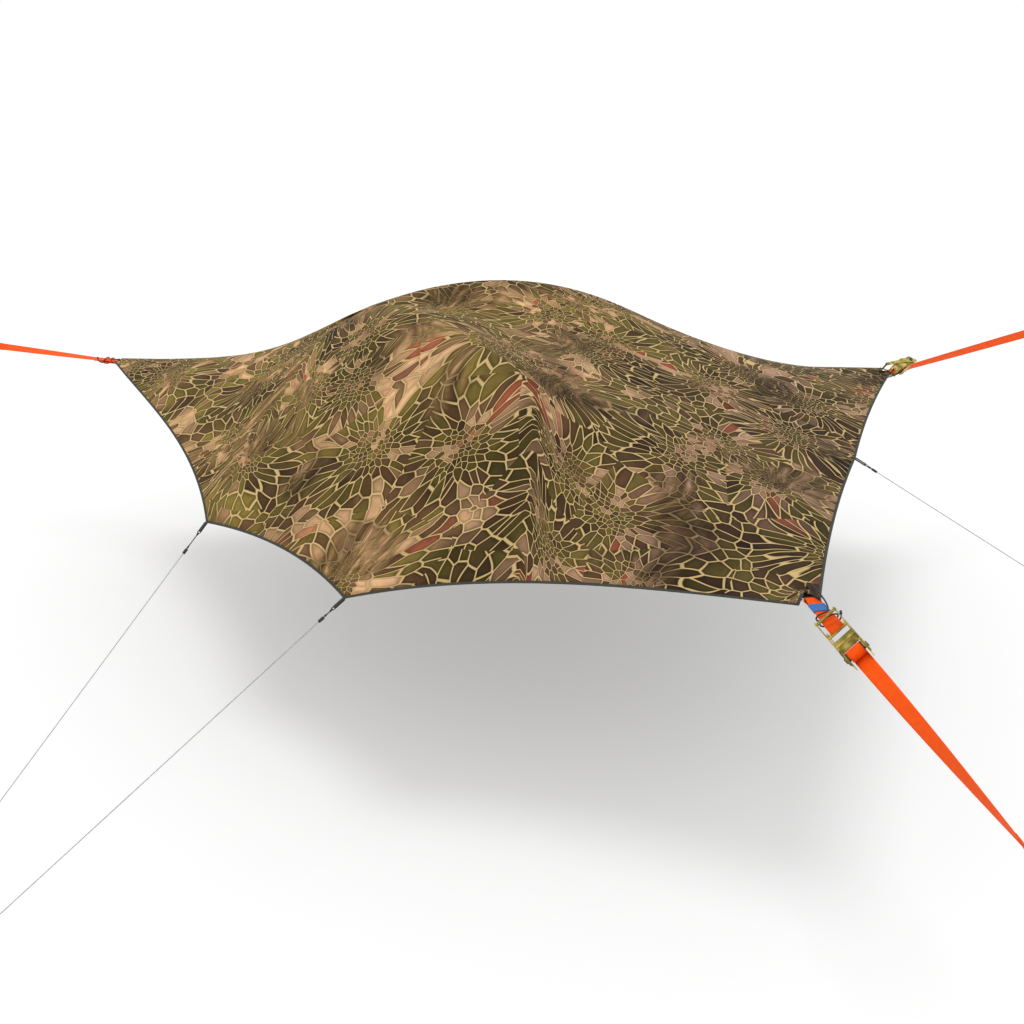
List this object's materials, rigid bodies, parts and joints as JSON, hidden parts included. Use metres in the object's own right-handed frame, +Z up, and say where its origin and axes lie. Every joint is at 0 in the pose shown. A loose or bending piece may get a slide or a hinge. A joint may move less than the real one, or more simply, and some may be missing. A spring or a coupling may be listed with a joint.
{
  "type": "camping hammock",
  "caption": "Triangular tree hammock tent: taut floor, crossing poles, inner canopy, camouflage fly, ratchet straps and guy lines.",
  "frame": {"origin": "centre of the sewn eye at the end of the foot strap", "axes": "+X from the foot anchor along the line of symmetry to the head side, +Y to the left head corner, +Z up"},
  "size_m": [5.6844, 6.0552, 1.5274],
  "materials": {
    "floor_fabric": "matt ripstop weave",
    "black_webbing": "ribbed webbing",
    "canopy_mesh": "fine insect mesh",
    "fly_fabric": "coated camouflage print",
    "orange_webbing": "woven polyester webbing",
    "pole_alloy": "anodised",
    "pole_fittings": "plain",
    "black_plastic": "moulded",
    "zip_tape": "woven tape with coil teeth",
    "blue_label": "woven label",
    "ring_steel": "zinc plated",
    "black_cord": "braided elastic",
    "grey_line": "braided reflective line",
    "yellow_zinc": "yellow zinc plating",
    "dark_steel": "plain"
  },
  "bodies": {
    "tent": {"canopy_clips": "black_plastic", "canopy_foot_panel": "canopy_mesh", "canopy_head_panel": "canopy_mesh", "canopy_left_panel": "canopy_mesh", "canopy_right_panel": "canopy_mesh", "corner_cord_foot": "black_cord", "corner_cord_hooks": "black_plastic", "corner_cord_left": "black_cord", "corner_cord_right": "black_cord", "corner_loops": "black_webbing", "corner_patches": "floor_fabric", "corner_rings": "ring_steel", "door_zip": "zip_tape", "edge_strap_head": "black_webbing", "edge_strap_left": "black_webbing", "edge_strap_right": "black_webbing", "floor_left_bay": "floor_fabric", "floor_right_bay": "floor_fabric", "fly_guy_tabs": "black_webbing", "fly_left_half": "fly_fabric", "fly_right_half": "fly_fabric", "foot_strap": "orange_webbing", "guy_line_head": "grey_line", "guy_line_left_foot": "grey_line", "guy_line_left_middle": "grey_line", "guy_line_right_foot": "grey_line", "guy_line_right_middle": "grey_line", "left_pole": "pole_alloy", "left_ratchet_frame": "yellow_zinc", "left_short_strap": "orange_webbing", "left_strap": "orange_webbing", "pole_cross_clip": "black_plastic", "pole_ferrules": "pole_fittings", "pole_sockets": "black_webbing", "pole_tips": "pole_fittings", "ratchet_bolts": "dark_steel", "right_pole": "pole_alloy", "right_ratchet_frame": "yellow_zinc", "right_short_strap": "orange_webbing", "right_strap": "orange_webbing", "spine_strap": "black_webbing", "strap_label": "blue_label"},
    "right_handle": {"right_ratchet_handle": "yellow_zinc"},
    "right_handle_pawl": {"right_ratchet_handle_pawl": "yellow_zinc"},
    "right_frame_pawl": {"right_ratchet_frame_pawl": "yellow_zinc"},
    "right_spool": {"right_ratchet_spool": "dark_steel", "right_ratchet_wheels": "yellow_zinc"},
    "left_handle": {"left_ratchet_handle": "yellow_zinc"},
    "left_handle_pawl": {"left_ratchet_handle_pawl": "yellow_zinc"},
    "left_frame_pawl": {"left_ratchet_frame_pawl": "yellow_zinc"},
    "left_spool": {"left_ratchet_spool": "dark_steel", "left_ratchet_wheels": "yellow_zinc"},
    "zip_slider": {"zip_slider": "black_plastic"},
    "line_tensioner_right_foot": {"line_tensioner_right_foot": "black_plastic"},
    "line_tensioner_right_middle": {"line_tensioner_right_middle": "black_plastic"},
    "line_tensioner_head": {"line_tensioner_head": "black_plastic"},
    "line_tensioner_left_middle": {"line_tensioner_left_middle": "black_plastic"},
    "line_tensioner_left_foot": {"line_tensioner_left_foot": "black_plastic"}
  },
  "joints": [
    {"name": "right_handle_swing", "type": "hinge", "parent": "tent", "child": "right_handle", "pos_m": [5.02982, -1.64635, 0.01414], "axis": [0.6036, 0.3684, 0.7071], "range_deg": [0, 150]},
    {"name": "right_spool_turn", "type": "hinge", "parent": "tent", "child": "right_spool", "pos_m": [5.02982, -1.64635, 0.01414], "axis": [0.6036, 0.3684, 0.7071], "continuous": true},
    {"name": "right_handle_pawl_pull", "type": "slide", "parent": "right_handle", "child": "right_handle_pawl", "axis": [-0.521, 0.8536, 0], "range_m": [0, 0.006], "stiffness_N_per_m": 400, "springref_m": -0.004},
    {"name": "right_frame_pawl_pull", "type": "slide", "parent": "tent", "child": "right_frame_pawl", "axis": [-0.521, 0.8536, 0], "range_m": [0, 0.006], "stiffness_N_per_m": 400, "springref_m": -0.004},
    {"name": "left_handle_swing", "type": "hinge", "parent": "tent", "child": "left_handle", "pos_m": [4.95152, 1.5253, 0.01147], "axis": [-0.4917, 0.2954, -0.8192], "range_deg": [0, 150]},
    {"name": "left_spool_turn", "type": "hinge", "parent": "tent", "child": "left_spool", "pos_m": [4.95152, 1.5253, 0.01147], "axis": [-0.4917, 0.2954, -0.8192], "continuous": true},
    {"name": "left_handle_pawl_pull", "type": "slide", "parent": "left_handle", "child": "left_handle_pawl", "axis": [-0.515, -0.8572, 0], "range_m": [0, 0.006], "stiffness_N_per_m": 400, "springref_m": -0.004},
    {"name": "left_frame_pawl_pull", "type": "slide", "parent": "tent", "child": "left_frame_pawl", "axis": [-0.515, -0.8572, 0], "range_m": [0, 0.006], "stiffness_N_per_m": 400, "springref_m": -0.004},
    {"name": "zip_slide", "type": "slide", "parent": "tent", "child": "zip_slider", "axis": [0, -1, 0], "range_m": [0, 1.46]},
    {"name": "tensioner_slide_right_foot", "type": "slide", "parent": "tent", "child": "line_tensioner_right_foot", "axis": [-0.0802, -0.8821, -0.4642], "range_m": [0, 0.14]},
    {"name": "tensioner_slide_right_middle", "type": "slide", "parent": "tent", "child": "line_tensioner_right_middle", "axis": [-0.3785, -0.8279, -0.4139], "range_m": [0, 0.14]},
    {"name": "tensioner_slide_head", "type": "slide", "parent": "tent", "child": "line_tensioner_head", "axis": [0.8978, -0.0724, -0.4344], "range_m": [0, 0.14]},
    {"name": "tensioner_slide_left_middle", "type": "slide", "parent": "tent", "child": "line_tensioner_left_middle", "axis": [-0.3785, 0.8279, -0.4139], "range_m": [0, 0.14]},
    {"name": "tensioner_slide_left_foot", "type": "slide", "parent": "tent", "child": "line_tensioner_left_foot", "axis": [-0.0802, 0.8821, -0.4642], "range_m": [0, 0.14]}
  ]
}
